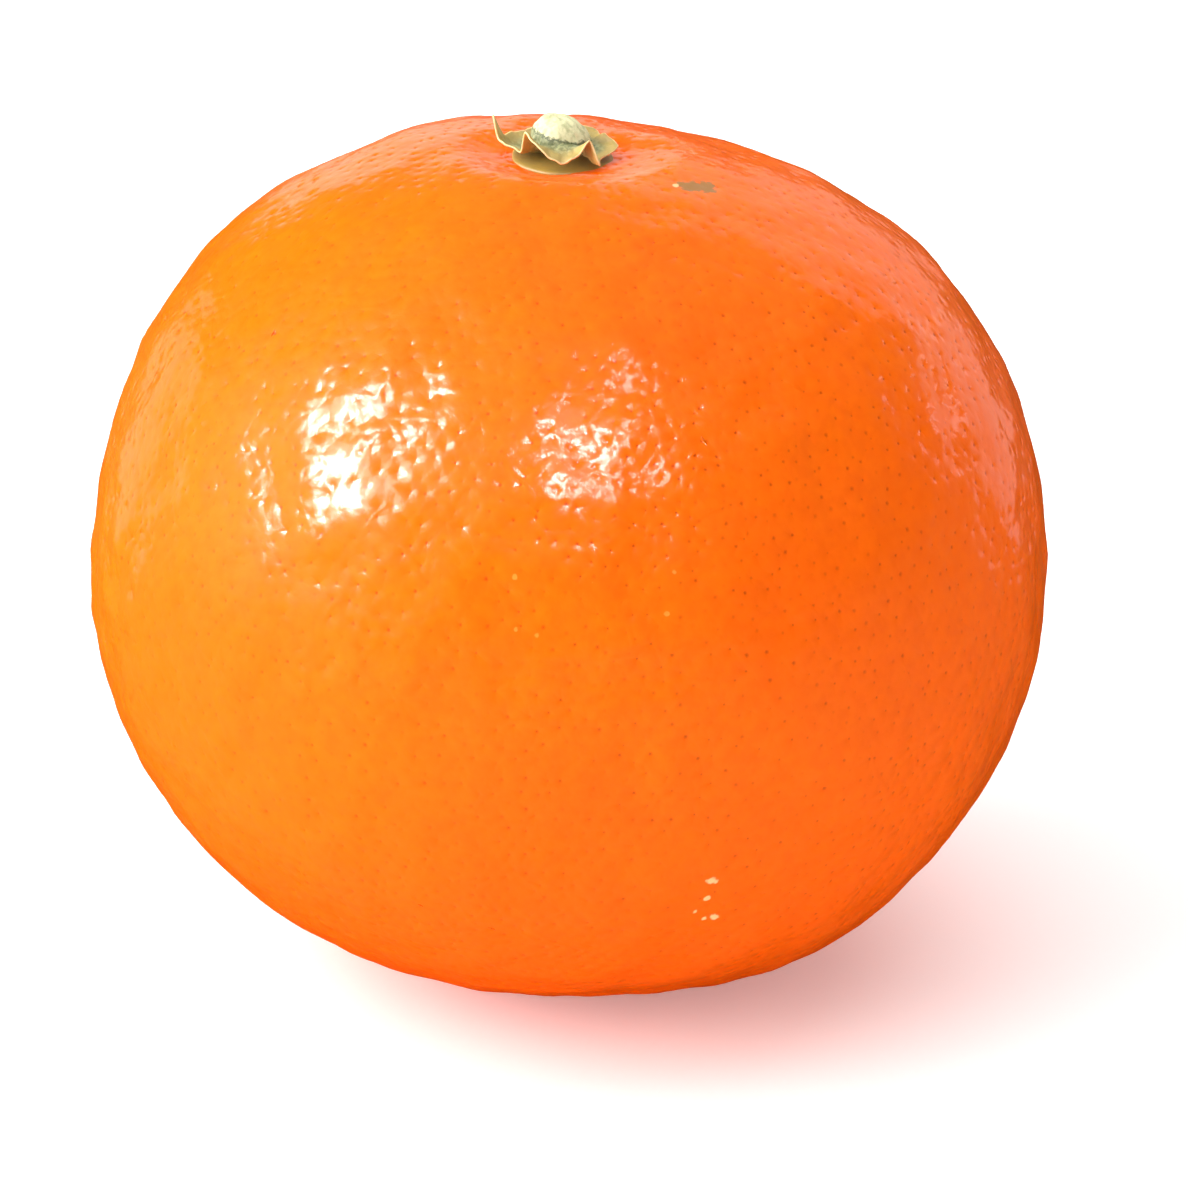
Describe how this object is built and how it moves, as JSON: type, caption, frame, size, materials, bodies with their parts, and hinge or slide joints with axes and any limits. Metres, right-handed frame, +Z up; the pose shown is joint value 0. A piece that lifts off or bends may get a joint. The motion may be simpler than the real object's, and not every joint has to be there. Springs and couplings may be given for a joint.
{
  "type": "mandarin",
  "caption": "Whole unpeeled mandarin, slightly flattened and uneven, with its dried calyx and cut stalk stub on top.",
  "frame": {"origin": "bottom centre of the bounding box, on the surface the fruit stands on", "axes": "+Z up from the blossom end to the stalk end, -Y towards the front, +X to the right seen from the front"},
  "size_m": [0.064, 0.0638, 0.059],
  "materials": {
    "peel": "waxy orange citrus peel, semi-gloss, with fine sunken oil glands",
    "disc": "matt olive-yellow plant tissue",
    "calyx": "thin dry papery plant tissue, tan to olive, with pale edges",
    "stub": "cut green twig: matt cream cut face, grey-green fibrous sides"
  },
  "bodies": {
    "root": {"fruit": "peel", "floral_disc": "disc", "calyx": "calyx", "stem_stub": "stub"}
  },
  "joints": []
}
